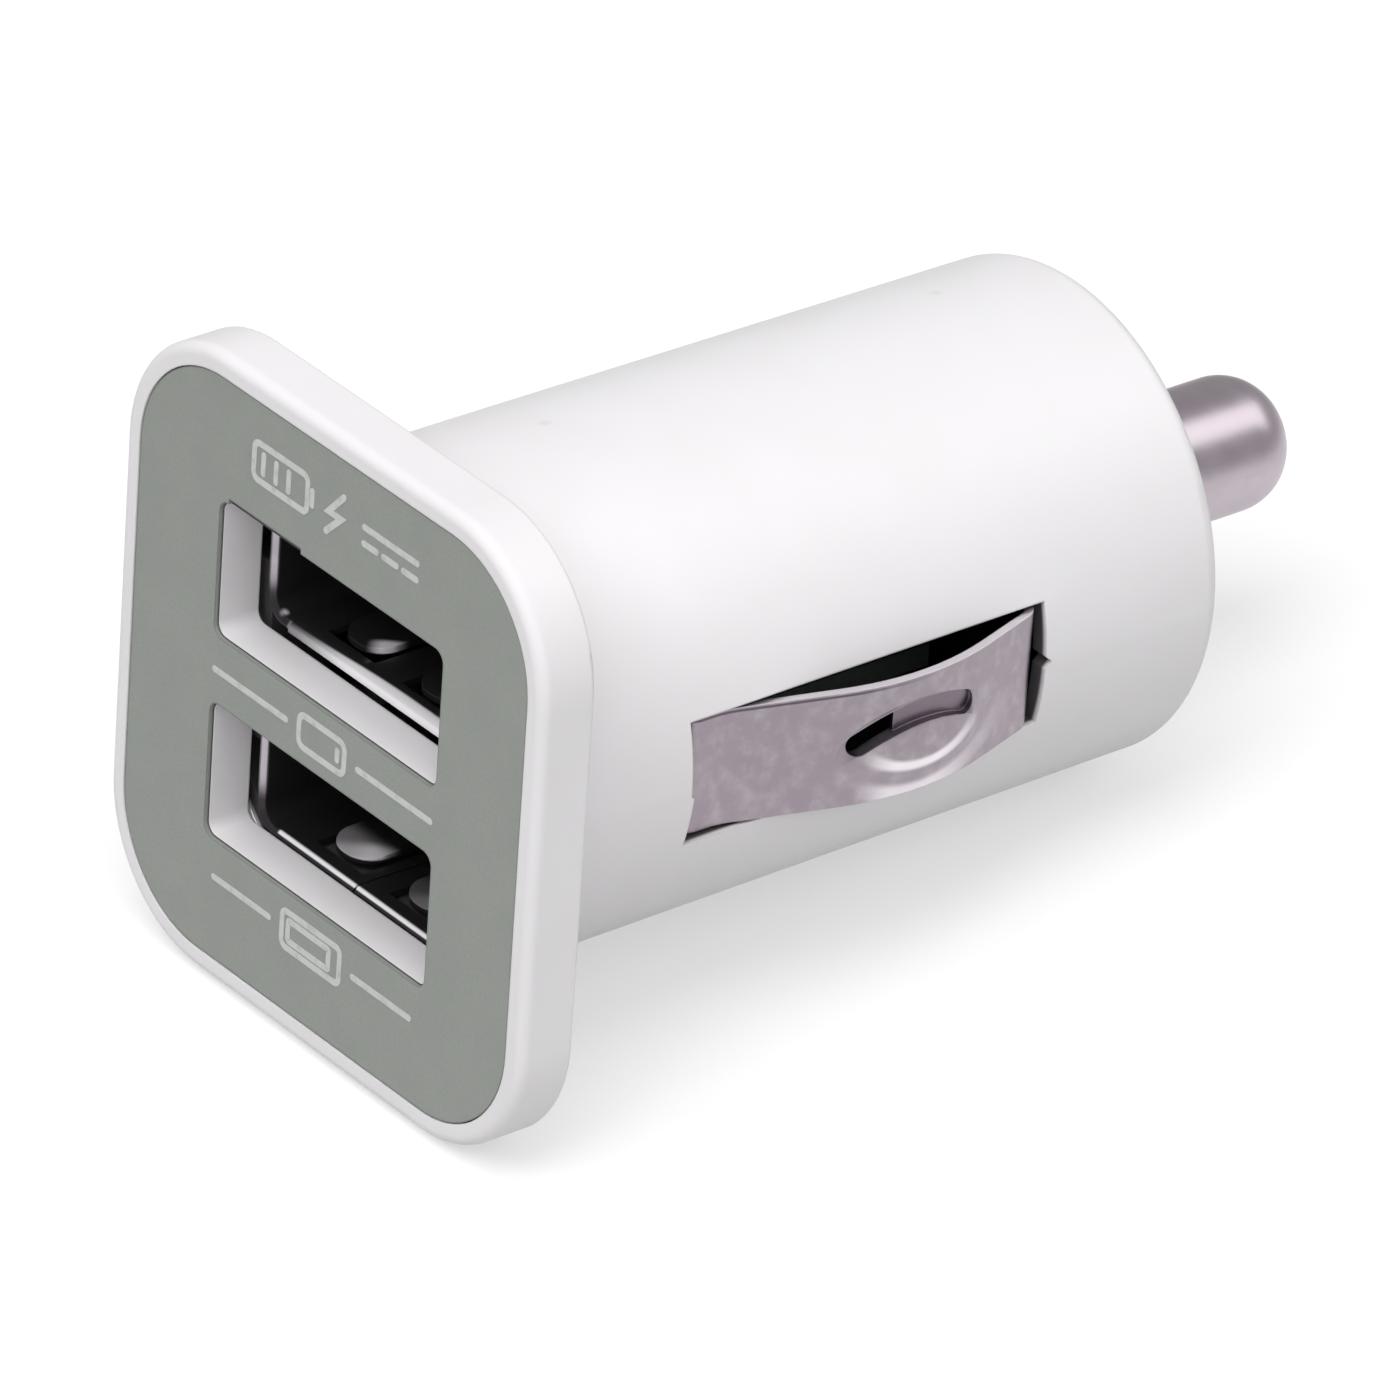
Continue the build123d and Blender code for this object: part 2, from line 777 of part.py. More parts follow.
def converter_leads():
    """Bent leads down both sides of the converter chip."""
    shoulder = -chip_stand_off - chip_height / 2
    outer = chip_width / 2 + lead_foot
    knee = chip_width / 2 + lead_foot / 2
    path = FilletPolyline(
        (chip_width / 2, shoulder),
        (knee, shoulder),
        (knee, -lead_thickness / 2),
        (outer, -lead_thickness / 2),
        radius=lead_thickness / 2,
    )
    strip = extrude(
        Plane.XZ * trace(path, line_width=lead_thickness), amount=lead_width / 2, both=True
    )
    leads = []
    for row in range(leads_per_side):
        y = (row - (leads_per_side - 1) / 2) * lead_pitch
        leads.append(chip_place() * Pos(0, y, 0) * strip)
        leads.append(chip_place() * Pos(0, y, 0) * Rot(0, 0, 180) * strip)
    return Compound(children=leads)


def rectifier_diode():
    """Flat diode body with a tab at each end, on the lower face behind the chip."""
    x = main_board_width / 2 - diode_length / 2 - lead_foot
    y = parts_front + chip_length + diode_width / 2 + 2 * board_edge_gap
    body = block(
        (-diode_length / 2, diode_length / 2),
        (-diode_width / 2, diode_width / 2),
        (-diode_height, 0),
    )
    body = chamfer(body.faces().sort_by(Axis.Z)[0].edges(), diode_bevel)
    half_tab = diode_tab_width / 2
    reach = diode_length / 2 + lead_thickness
    body += block((-reach, reach), (-half_tab, half_tab), (-diode_height / 2, 0))
    return Pos(x, y, -board_face) * body


def chip_row(x, y, side):
    """Row of small chip parts on one face of the main board, side by side along X."""
    low = sorted((side * board_face, side * (board_face + chip_part_height)))
    parts = []
    for number in range(chip_part_count):
        left = x + number * chip_pitch
        part = block((left, left + chip_part_width), (y, y + chip_part_length), low)
        parts.append(chamfer(part.edges().filter_by(Axis.Y), chip_part_bevel))
    return Compound(children=parts)


def chip_resistors():
    """Chip resistors on the lower face, behind the lower capacitor."""
    y = parts_front + 2 * capacitor_radius + 2 * board_edge_gap
    return chip_row(-main_board_width / 2 + 2 * board_edge_gap, y, -1)


def chip_capacitors():
    """Ceramic chip capacitors on the upper face, behind the upper capacitor."""
    y = parts_front + 2 * capacitor_radius + 2 * board_edge_gap
    return chip_row(main_board_width / 2 - capacitor_edge_gap - chip_row_width, y, 1)


nodes = {
    "front_bezel": front_bezel(),
    "face_panel": face_panel(),
    "barrel_shell": barrel_shell(),
    "side_contact_right": side_contact(),
    "side_contact_left": Rot(0, 180, 0) * side_contact(),
    "tip_contact": tip_contact(),
    "tip_spring": tip_spring(),
    "tip_terminal": tip_terminal(),
    "port_board": port_board(),
    "main_board": main_board(),
    "choke_core": choke_core(),
    "choke_winding": choke_winding(),
    "input_capacitor": input_capacitor(),
    "output_capacitor": output_capacitor(),
    "converter_chip": converter_chip(),
    "converter_leads": converter_leads(),
    "rectifier_diode": rectifier_diode(),
    "chip_resistors": chip_resistors(),
    "chip_capacitors": chip_capacitors(),
}
for port in socket_heights:
    nodes[port + "_socket_shell"] = socket_shell(port)
    nodes[port + "_socket_tongue"] = socket_tongue(port)
    nodes[port + "_socket_pins"] = socket_pins(port)

os.makedirs("parts", exist_ok=True)
for name, shape in nodes.items():
    export_step(shape, "parts/" + name + ".step")
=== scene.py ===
import json
import math

import bpy
from mathutils import Matrix, Vector


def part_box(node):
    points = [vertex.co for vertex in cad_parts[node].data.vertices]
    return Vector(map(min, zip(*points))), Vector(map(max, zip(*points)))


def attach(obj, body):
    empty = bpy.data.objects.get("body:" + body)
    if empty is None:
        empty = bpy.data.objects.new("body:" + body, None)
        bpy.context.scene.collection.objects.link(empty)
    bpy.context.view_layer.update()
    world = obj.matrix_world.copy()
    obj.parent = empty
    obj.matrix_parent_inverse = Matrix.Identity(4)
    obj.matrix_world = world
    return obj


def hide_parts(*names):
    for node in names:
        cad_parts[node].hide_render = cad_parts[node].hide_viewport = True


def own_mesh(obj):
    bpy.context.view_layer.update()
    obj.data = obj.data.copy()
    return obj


# Everything is in metres, in the frame of the solids: +Y from the face to the tip, +Z up.
# Names that end in _mm hold millimetres. A pair of them is where a share is 0 and where it is 1.
MM = 0.001
FRONT = (0.0, -1.0, 0.0)
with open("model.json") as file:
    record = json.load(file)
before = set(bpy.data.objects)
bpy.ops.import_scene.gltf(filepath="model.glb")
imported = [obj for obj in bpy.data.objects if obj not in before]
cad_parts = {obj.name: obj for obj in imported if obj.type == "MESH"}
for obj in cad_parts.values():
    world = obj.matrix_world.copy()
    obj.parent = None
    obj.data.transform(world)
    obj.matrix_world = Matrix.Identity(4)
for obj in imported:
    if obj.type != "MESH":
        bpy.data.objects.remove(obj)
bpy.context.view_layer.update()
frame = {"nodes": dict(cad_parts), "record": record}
nodes = frame["nodes"]

# Barrel, flange and panel
barrel_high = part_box("barrel_shell")[1]
panel_low, panel_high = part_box("face_panel")
barrel_radius_mm = barrel_high[0] / MM
barrel_rear_mm = barrel_high[1] / MM
barrel_straight_mm = 7.2
barrel_draft_mm = 0.16
# Painted shade on the insides of the barrel and the flange: where it fades in under the skin,
# before the rear wall and behind the windows
skin_depth_mm = (0.08, 0.3)
rear_wall_mm = 1.6
rear_wall_fade_mm = (0.5, 0.2)
window_end_mm = -0.4
window_end_fade_mm = (-0.02, 0.06)
shade_margin_mm = 0.2
panel_half_mm = panel_high[0] / MM
panel_face_mm = panel_low[1] / MM
pocket_floor_mm = panel_high[1] / MM

# Side contacts: places along and across are from the crest of the leaf
leaf_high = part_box("side_contact_right")[1]
leaf_top_mm = leaf_high[2] / MM
crest_mm = 17.65
contact_rise_mm = 0.1
# Painted highlight along the top edge, and a thin dark line under it
edge_highlight_below_top_mm = (0.04, 0.005)
dark_line_below_top_mm = 0.14
dark_line_along_mm = (19.0, 14.0)
slot_middle_mm = ((-2.925, 0.15), (-0.4, 1.0), (2.225, 0.62))
slot_half_mm = 0.475
slot_rear_mm = 2.7
slot_front_fade_mm = 1.0
slot_rear_fade_mm = (0.1, -0.15)
# Painted highlight crescents about the boss
boss_middle_mm = 0.4
boss_below_mm = (0.2, -0.7)
boss_front_mm = (-3.2, -1.2)
boss_rear_mm = (4.2, 0.4)

# Sockets: depth is from the mouth, rise from the sleeve's floor
socket_low, socket_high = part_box("upper_socket_shell")
socket_front_mm = socket_low[1] / MM
socket_middle_mm = (socket_low[2] + socket_high[2]) / 2 / MM
socket_floor_mm = -2.47
# Painted shade past the sleeves' front rims and low on them; painted highlights on lip, sill,
# finger ends and a corner glint
rim_depth_mm = (0.3, 0.12)
rim_rise_mm = (0.72, 1.72)
finger_spread_mm = 2.35
finger_round_mm = 2.35
finger_half_mm = 1.25
finger_depth_mm = (3.0, 2.0)
finger_foot_mm = (0.04, 0.14)
finger_top_mm = (0.9, 0.7)
lip_half_mm = 5.2
lip_fade_mm = 0.15
lip_rise_mm = (0.25, 0.05)
lip_reach_mm = (0.1, 0.4)
lip_full_reach_mm = 2.0
lip_dim_mm = (-lip_half_mm - 0.5, -1.0)
sill_middle_mm = -0.08
sill_half_mm = 0.07
sill_depth_mm = (0.3, 0.18)
corner_glint_mm = (5.85, 0.3, 0.07)
corner_glint_radius_mm = 0.26

# Spring behind the tip
spring_low, spring_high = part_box("tip_spring")
spring_wire_mm = 0.5
spring_turns = 5.5
closed_turns = 0.75

# Printed marks
ink_width_mm = 0.28
ink_height_mm = 0.02
ink_sunk_mm = 0.005

# Colours, linear
WHITE = (0.82, 0.805, 0.82)
WHITE_CLOUD = (0.80, 0.785, 0.797)
SPECK_GREY = (0.55, 0.54, 0.55)
GRIME = (0.68, 0.66, 0.66)
# Painted shade on the inside of the white plastic, in its window reveals and on the panel's pocket
# floor
INSIDE_SHADE_BLACK = (0.070, 0.067, 0.070)
PANEL_GREY = (0.286, 0.304, 0.281)
PANEL_CLOUD = (0.302, 0.320, 0.296)
PANEL_GRAIN = (0.264, 0.281, 0.259)
# Painted shade along the panel's edges
PANEL_EDGE_SHADE = (0.15, 0.14, 0.14)
NICKEL_DARK = (0.325, 0.275, 0.315)
NICKEL_PALE = (0.355, 0.315, 0.345)
# NICKEL_BRIGHT serves bright mottle and rubbed edges, and painted highlights on the boss and the
# top edge
NICKEL_BRIGHT = (0.84, 0.79, 0.83)
# Painted shade in the contacts' slot
SLOT_SHADE = (0.20, 0.162, 0.196)
LINE_DARK = (0.05, 0.04, 0.05)
STEEL_DARK = (0.44, 0.40, 0.44)
STEEL_PALE = (0.54, 0.50, 0.54)
# Painted shade inside the sleeves; painted highlights on their finger ends and lips
SLEEVE_INSIDE_SHADE = (0.017, 0.016, 0.017)
FINGER_HIGHLIGHT = (1.0, 0.96, 1.0)
LIP_HIGHLIGHT = (0.95, 0.93, 0.95)
PRINT_LIGHT = (0.60, 0.615, 0.60)
PRINT_WORN = (0.48, 0.495, 0.475)
FLOOR_GREY = (0.52, 0.52, 0.52, 1.0)
LIGHT_WHITE = (1.0, 1.0, 1.0, 1.0)

# Parts of a noise's range that are stretched over a range of colour or roughness
NOISE_MIDDLE = (0.3, 0.7)
NOISE_WIDE = (0.25, 0.75)
# Agreement of the true and the rounded normal on flat ground and on an edge
EDGE_AGREEMENT = (0.98, 0.75)
SCRATCH_DEPTH_MM = 0.0006


class Shade:
    """One node material, with short calls for the nodes that the surfaces here share."""

    def __init__(self, name):
        self.material = bpy.data.materials.new(name)
        self.material.use_nodes = True
        self.tree = self.material.node_tree
        self.tree.nodes.clear()
        output = self.tree.nodes.new("ShaderNodeOutputMaterial")
        self.bsdf = self.tree.nodes.new("ShaderNodeBsdfPrincipled")
        self.tree.links.new(self.bsdf.outputs["BSDF"], output.inputs["Surface"])
        self.place = self.node("ShaderNodeTexCoord").outputs["Object"]
        in_mm = self.vector("MULTIPLY", self.place, (1 / MM, 1 / MM, 1 / MM))
        self.x, self.y, self.z = self.node("ShaderNodeSeparateXYZ", {"Vector": in_mm}).outputs
        self.radius = self.vector("LENGTH", self.vector("MULTIPLY", in_mm, (1.0, 0.0, 1.0)))

    def node(self, kind, inputs=None, **settings):
        """A new node with its settings, and its inputs set or linked."""
        made = self.tree.nodes.new(kind)
        for key, value in settings.items():
            setattr(made, key, value)
        for key, value in (inputs or {}).items():
            self.put(made.inputs[key], value)
        return made

    def put(self, socket, value):
        """Links a socket to another, or sets its value."""
        if isinstance(value, bpy.types.NodeSocket):
            self.tree.links.new(value, socket)
        else:
            socket.default_value = value

    def set(self, **inputs):
        """Sets or links inputs of the surface shader, named with _ for spaces."""
        for key, value in inputs.items():
            self.put(self.bsdf.inputs[key.replace("_", " ")], value)

    def math(self, operation, first, second=0.0, third=0.0, clamp=False):
        """Result of one sum on numbers or sockets."""
        made = self.node("ShaderNodeMath", operation=operation, use_clamp=clamp)
        for socket, value in zip(made.inputs, (first, second, third)):
            self.put(socket, value)
        return made.outputs[0]

    def both(self, *shares):
        """Product of several shares."""
        result = shares[0]
        for share in shares[1:]:
            result = self.math("MULTIPLY", result, share)
        return result

    def vector(self, operation, first, second=(0.0, 0.0, 0.0)):
        """Result of one sum on vectors."""
        made = self.node("ShaderNodeVectorMath", operation=operation)
        self.put(made.inputs[0], first)
        self.put(made.inputs[1], second)
        single = operation in ("DOT_PRODUCT", "LENGTH", "DISTANCE")
        return made.outputs["Value" if single else "Vector"]

    def point(self, **places):
        """Vector from its X, Y and Z."""
        return self.node("ShaderNodeCombineXYZ", places).outputs["Vector"]

    def true_normal(self):
        """Normal of the mesh, before any bump."""
        return self.node("ShaderNodeNewGeometry").outputs["Normal"]

    def noise(self, size_mm, detail=3.0, roughness=0.55, stretch=(1.0, 1.0, 1.0)):
        """Noise from 0 to 1 with features of about that size, drawn out along an axis."""
        made = self.node(
            "ShaderNodeTexNoise",
            {
                "Vector": self.vector("MULTIPLY", self.place, stretch),
                "Scale": 1.0 / (size_mm * MM),
                "Detail": detail,
                "Roughness": roughness,
            },
        )
        return made.outputs["Fac"]

    def span(self, value, low, high, to_low=0.0, to_high=1.0):
        """Maps low to high of a value smoothly onto another range, with flat ends."""
        return self.node(
            "ShaderNodeMapRange",
            {
                "Value": value,
                "From Min": low,
                "From Max": high,
                "To Min": to_low,
                "To Max": to_high,
            },
            interpolation_type="SMOOTHSTEP",
        ).outputs["Result"]

    def band(self, value, middle, half, fade):
        """1 within half of a middle value, falling to 0 over fade on both sides."""
        away = self.math("ABSOLUTE", self.math("SUBTRACT", value, middle))
        return self.span(away, half + fade, half)

    def mix(self, share, first, second):
        """Colour between two colours."""
        made = self.node("ShaderNodeMix", data_type="RGBA")
        self.put(made.inputs["Factor"], share)
        for key, value in (("A", first), ("B", second)):
            sockets = [s for s in made.inputs if s.name == key and s.type == "RGBA"]
            colour = value if isinstance(value, bpy.types.NodeSocket) else (*value, 1.0)
            self.put(sockets[0], colour)
        return [s for s in made.outputs if s.type == "RGBA"][0]

    def soft_edges(self, radius_mm):
        """Normal with its edges rounded, and how near a point is to an edge."""
        rounded = self.node("ShaderNodeBevel", {"Radius": radius_mm * MM}, samples=6)
        same = self.vector("DOT_PRODUCT", rounded.outputs["Normal"], self.true_normal())
        return rounded.outputs["Normal"], self.span(same, *EDGE_AGREEMENT)

    def relief(self, height, depth_mm, normal=None):
        """Bump of that depth, on top of a normal if one is given."""
        inputs = {"Height": height, "Distance": depth_mm * MM, "Strength": 1.0}
        if normal is not None:
            inputs["Normal"] = normal
        return self.node("ShaderNodeBump", inputs).outputs["Normal"]

    def speck(self, place_mm, radius_mm, core=0.3):
        """Share of a small round speck at a place on the surface, full over its core."""
        middle = tuple(value * MM for value in place_mm)
        away = self.vector("DISTANCE", self.place, middle)
        return self.span(away, radius_mm * MM, core * radius_mm * MM)


def lighter(colour, times):
    """Colour raised for rubbed edges."""
    return tuple(min(1.0, value * times) for value in colour)


def barrel_painted_shade(shade):
    """Share of painted shade: 0 on the barrel's outer skin and its rear end, 1 on its inside and in
    its windows.
    """
    run = barrel_rear_mm - barrel_straight_mm
    along = shade.math("SUBTRACT", shade.y, barrel_straight_mm)
    taper = shade.math("DIVIDE", along, run, clamp=True)
    skin = shade.math("MULTIPLY_ADD", taper, -barrel_draft_mm, barrel_radius_mm)
    depth = shade.math("SUBTRACT", skin, shade.radius)
    wall = barrel_rear_mm - rear_wall_mm
    before_wall = shade.span(shade.y, *(wall + fade for fade in rear_wall_fade_mm))
    return shade.both(shade.span(depth, *skin_depth_mm), before_wall)


def bezel_painted_shade(shade):
    """Share of painted shade: 0 on the flange's outer faces and window walls, 1 behind the windows
    and under the panel.
    """
    behind = shade.span(shade.y, *(window_end_mm + fade for fade in window_end_fade_mm))
    in_barrel = shade.span(shade.radius, barrel_radius_mm, barrel_radius_mm - shade_margin_mm)
    faces_front = shade.span(shade.vector("DOT_PRODUCT", shade.true_normal(), FRONT), 0.9, 0.97)
    aside = shade.math("ABSOLUTE", shade.x)
    pocket = shade.both(
        faces_front,
        shade.band(shade.y, pocket_floor_mm, 0.03, 0.02),
        shade.span(aside, panel_half_mm, panel_half_mm - shade_margin_mm),
    )
    return shade.math("MAXIMUM", shade.both(behind, in_barrel), pocket)


def white_plastic(name, inside, specks=()):
    """Moulded white plastic: faint flow clouds, a fine skin, grime on edges, and painted shade that
    makes its inside dark.
    """
    shade = Shade(name)
    clouds = shade.noise(size_mm=7.0, detail=2.0)
    grain = shade.noise(size_mm=0.35, detail=2.0)
    normal, edge = shade.soft_edges(radius_mm=0.1)
    inside_shade = inside(shade)
    colour = shade.mix(shade.span(clouds, *NOISE_MIDDLE), WHITE_CLOUD, WHITE)
    patches = shade.span(shade.noise(size_mm=1.2), 0.45, 0.7)
    colour = shade.mix(shade.both(edge, patches, 0.5), colour, GRIME)
    for place_mm, radius_mm, strength in specks:
        spot = shade.both(shade.speck(place_mm, radius_mm), strength)
        colour = shade.mix(spot, colour, SPECK_GREY)
    satin = shade.span(grain, *NOISE_MIDDLE, to_low=0.44, to_high=0.54)
    # Painted shade: near black on the inside, in the window reveals and on the pocket floor
    shade.set(
        Base_Color=shade.mix(inside_shade, colour, INSIDE_SHADE_BLACK),
        Roughness=shade.math("MULTIPLY_ADD", inside_shade, 0.3, satin),
        Normal=shade.relief(grain, 0.0005, normal),
        IOR=1.46,
    )
    return shade.material


def grey_panel():
    """Satin grey panel with a fine even grain and a dark line of painted shade along its edges."""
    shade = Shade("grey_panel")
    clouds = shade.noise(size_mm=2.2, detail=3.0)
    grain = shade.noise(size_mm=0.14, detail=2.0)
    normal, edge = shade.soft_edges(radius_mm=0.13)
    colour = shade.mix(shade.span(clouds, *NOISE_MIDDLE), PANEL_GREY, PANEL_CLOUD)
    colour = shade.mix(shade.span(grain, 0.35, 0.75, to_high=0.5), colour, PANEL_GRAIN)
    # Painted shade: a dark line along the panel's edges
    shade.set(
        Base_Color=shade.mix(shade.both(edge, 0.7), colour, PANEL_EDGE_SHADE),
        Roughness=shade.span(grain, *NOISE_MIDDLE, to_low=0.5, to_high=0.6),
        Normal=shade.relief(grain, 0.0015, normal),
    )
    return shade.material


def metal(name, dark, bright, roughness, blotch_mm, stretch=(1.0, 1.0, 1.0)):
    """Plated sheet or wire with blotches, fine scratches and rubbed edges."""
    shade = Shade(name)
    blotches = shade.noise(blotch_mm, detail=4.0)
    scratches = shade.noise(size_mm=0.08, detail=2.0, roughness=0.6, stretch=stretch)
    normal, edge = shade.soft_edges(radius_mm=0.06)
    colour = shade.mix(shade.span(blotches, *NOISE_MIDDLE), dark, bright)
    shade.set(
        Base_Color=shade.mix(shade.both(edge, 0.8), colour, lighter(bright, 1.35)),
        Metallic=1.0,
        Roughness=shade.span(blotches, *NOISE_WIDE, *roughness),
        Normal=shade.relief(scratches, SCRATCH_DEPTH_MM, normal),
    )
    return shade.material


def plain_solid(name, dark, bright, roughness, grain_mm):
    """Moulded or ceramic surface of a component inside the plug, with a grain and rubbed edges."""
    shade = Shade(name)
    grain = shade.noise(grain_mm, detail=3.0)
    normal, edge = shade.soft_edges(radius_mm=0.05)
    colour = shade.mix(shade.span(grain, *NOISE_MIDDLE), dark, bright)
    shade.set(
        Base_Color=shade.mix(shade.both(edge, 0.6), colour, lighter(bright, 1.4)),
        Roughness=shade.span(grain, *NOISE_MIDDLE, roughness - 0.06, roughness + 0.06),
        Normal=shade.relief(grain, 0.003, normal),
    )
    return shade.material


def slot_share(shade, along, height):
    """Share of painted shade: 1 on the walls and the floor of a contact's arched slot, 0 on the
    leaf around it.
    """
    (y1, z1), (y2, z2), (y3, z3) = slot_middle_mm
    first = (z2 - z1) / (y2 - y1)
    second = ((z3 - z2) / (y3 - y2) - first) / (y3 - y1)
    from_1 = shade.math("SUBTRACT", along, y1)
    from_2 = shade.math("SUBTRACT", along, y2)
    arch = shade.math("MULTIPLY_ADD", from_2, second, first)
    middle = shade.math("MULTIPLY_ADD", from_1, arch, z1)
    off_line = shade.math("SUBTRACT", height, middle)
    return shade.both(
        shade.band(off_line, 0.0, slot_half_mm - 0.02, 0.07),
        shade.both(
            shade.span(along, -slot_rear_mm - slot_front_fade_mm, -slot_rear_mm),
            shade.span(along, *(slot_rear_mm + fade for fade in slot_rear_fade_mm)),
        ),
    )


def boss_highlights(shade, along, height):
    """Soft painted highlights in crescents on the lower side of a contact's boss."""
    total = 0.0
    above_middle = shade.math("SUBTRACT", height, boss_middle_mm)
    for half_length_mm, half_width_mm, share in ((2.95, 1.62, 1.0), (4.9, 2.9, 0.8)):
        offset = shade.point(
            X=shade.math("DIVIDE", along, half_length_mm),
            Y=shade.math("DIVIDE", above_middle, half_width_mm),
        )
        ring = shade.band(shade.vector("LENGTH", offset), 1.0, 0.05, 0.15)
        total = shade.math("MULTIPLY_ADD", ring, share, total)
    return shade.both(
        total,
        shade.span(height, *boss_below_mm),
        shade.span(along, *boss_rear_mm, to_low=0.15),
        shade.span(along, *boss_front_mm),
    )


def contact_nickel():
    """Dull nickel of the side contacts: soft blotches, painted highlights on the boss and along the
    top edge, painted shade in the slot.
    """
    shade = Shade("contact_nickel")
    blotches = shade.noise(size_mm=1.6, detail=4.0, roughness=0.6)
    mottle = shade.noise(size_mm=0.8, detail=4.0)
    scratches = shade.noise(size_mm=0.1, detail=2.0, roughness=0.6, stretch=(1.0, 0.25, 1.0))
    normal, edge = shade.soft_edges(radius_mm=0.07)
    along = shade.math("SUBTRACT", shade.y, crest_mm)
    upright = shade.both(shade.z, shade.math("SIGN", shade.x))
    height = shade.math("SUBTRACT", upright, contact_rise_mm)
    colour = shade.mix(shade.span(blotches, *NOISE_MIDDLE), NICKEL_DARK, NICKEL_PALE)
    colour = shade.mix(shade.span(mottle, 0.4, 0.8, to_high=0.16), colour, NICKEL_BRIGHT)
    # Painted highlight: bright crescents on the lower side of the boss
    colour = shade.mix(boss_highlights(shade, along, height), colour, NICKEL_BRIGHT)
    colour = shade.mix(shade.both(edge, 0.45), colour, NICKEL_BRIGHT)
    # Painted shade: the walls and floor of the arched slot are darker
    colour = shade.mix(shade.both(slot_share(shade, along, height), 0.9), colour, SLOT_SHADE)
    # A thin dark line a little under the top edge, fading out towards the tip end
    line_under_top = shade.band(upright, leaf_top_mm - dark_line_below_top_mm, 0.03, 0.05)
    dark_line = shade.both(line_under_top, shade.span(shade.y, *dark_line_along_mm), 0.75)
    colour = shade.mix(dark_line, colour, LINE_DARK)
    # Painted highlight: a bright band along the leaf's top edge
    top_edge_highlight = shade.span(upright, *(leaf_top_mm - below for below in edge_highlight_below_top_mm))
    shade.set(
        Base_Color=shade.mix(top_edge_highlight, colour, NICKEL_BRIGHT),
        Metallic=1.0,
        Roughness=shade.span(blotches, *NOISE_WIDE, to_low=0.3, to_high=0.42),
        Normal=shade.relief(scratches, SCRATCH_DEPTH_MM, normal),
    )
    return shade.material


def finger_end(shade, depth, is_upper):
    """Share of light on the rounded end of a spring finger: most along its right front rim."""
    hand = shade.math("SIGN", shade.x)
    across = shade.math("MULTIPLY_ADD", hand, -finger_spread_mm, shade.x)
    behind = shade.math("SUBTRACT", depth, finger_round_mm)
    to_rim = shade.math("SUBTRACT", across, behind)
    to_right = shade.math("ADD", across, behind)
    wide = shade.both(shade.span(to_rim, -0.1, 1.0), shade.span(to_right, -1.3, 0.7, to_low=0.4))
    lower = shade.math("MULTIPLY_ADD", wide, 0.8, 0.25, clamp=True)
    upper = shade.both(shade.span(to_rim, 0.85, 1.35), shade.span(to_right, -0.7, 0.4))
    light = shade.math("MULTIPLY_ADD", is_upper, shade.math("SUBTRACT", upper, lower), lower)
    return shade.both(
        light,
        shade.span(hand, -1.0, 1.0, to_low=1.0, to_high=0.35),
        shade.band(across, 0.0, finger_half_mm, 0.1),
        shade.span(depth, *finger_depth_mm),
    )


def socket_steel():
    """Tinned sleeve of a socket: painted highlights on lip, sill, finger ends and a corner; rims
    fading into painted shade near the floor; painted shade inside.
    """
    shade = Shade("socket_steel")
    streaks = shade.noise(size_mm=0.9, detail=3.0, roughness=0.5, stretch=(1.0, 0.35, 1.0))
    side = shade.math("SIGN", shade.z)
    is_upper = shade.span(side, -1.0, 1.0)
    is_lower = shade.math("SUBTRACT", 1.0, is_upper)
    aside = shade.math("ABSOLUTE", shade.x)
    height = shade.math("MULTIPLY_ADD", side, -socket_middle_mm, shade.z)
    rise = shade.math("SUBTRACT", height, socket_floor_mm)
    depth = shade.math("SUBTRACT", shade.y, socket_front_mm)

    finger = shade.both(
        finger_end(shade, depth, is_upper),
        shade.span(rise, *finger_foot_mm),
        shade.span(rise, *finger_top_mm),
    )
    # Painted highlights on the upper sleeve's lip, the lower sleeve's sill and one corner
    between_corners = shade.span(aside, lip_half_mm + lip_fade_mm, lip_half_mm)
    lip_reach = shade.span(shade.x, -lip_half_mm, lip_full_reach_mm, *lip_reach_mm)
    lip = shade.both(
        is_upper,
        between_corners,
        shade.span(rise, *lip_rise_mm),
        shade.span(depth, shade.math("ADD", lip_reach, lip_fade_mm), lip_reach),
        shade.span(shade.x, *lip_dim_mm, to_low=0.3),
    )
    sill = shade.both(
        is_lower,
        between_corners,
        shade.band(rise, sill_middle_mm, sill_half_mm, 0.05),
        shade.span(depth, *sill_depth_mm),
    )
    to_corner = shade.vector("DISTANCE", shade.point(X=aside, Y=depth, Z=rise), corner_glint_mm)
    glint = shade.span(to_corner, corner_glint_radius_mm, 0.0, to_high=0.8)
    lip_or_sill = shade.math("MAXIMUM", lip, sill)
    bright = shade.math("MAXIMUM", lip_or_sill, shade.both(is_upper, glint))
    front = shade.span(depth, *rim_depth_mm)
    rim = shade.both(front, shade.span(rise, *rim_rise_mm, to_low=0.12))
    lit = shade.math("MAXIMUM", finger, bright)

    steel = shade.mix(shade.span(streaks, *NOISE_MIDDLE), STEEL_DARK, STEEL_PALE)
    # Painted shade: near black past the front rims and low on them
    colour = shade.mix(rim, SLEEVE_INSIDE_SHADE, steel)
    # Painted highlights on the finger ends, then on the lip, sill and corner glint
    colour = shade.mix(finger, colour, FINGER_HIGHLIGHT)
    shade.set(
        Base_Color=shade.mix(bright, colour, LIP_HIGHLIGHT),
        Metallic=shade.both(front, shade.math("SUBTRACT", 1.0, lit)),
        Roughness=shade.span(streaks, *NOISE_WIDE, to_low=0.28, to_high=0.38),
        Normal=shade.soft_edges(radius_mm=0.06)[0],
    )
    return shade.material


# Specks on the barrel: place, radius and strength
barrel_specks = (
    ((-1.21, 8.53, 10.31), 0.35, 0.25),
    ((-1.82, 28.38, 10.22), 0.4, 0.22),
)
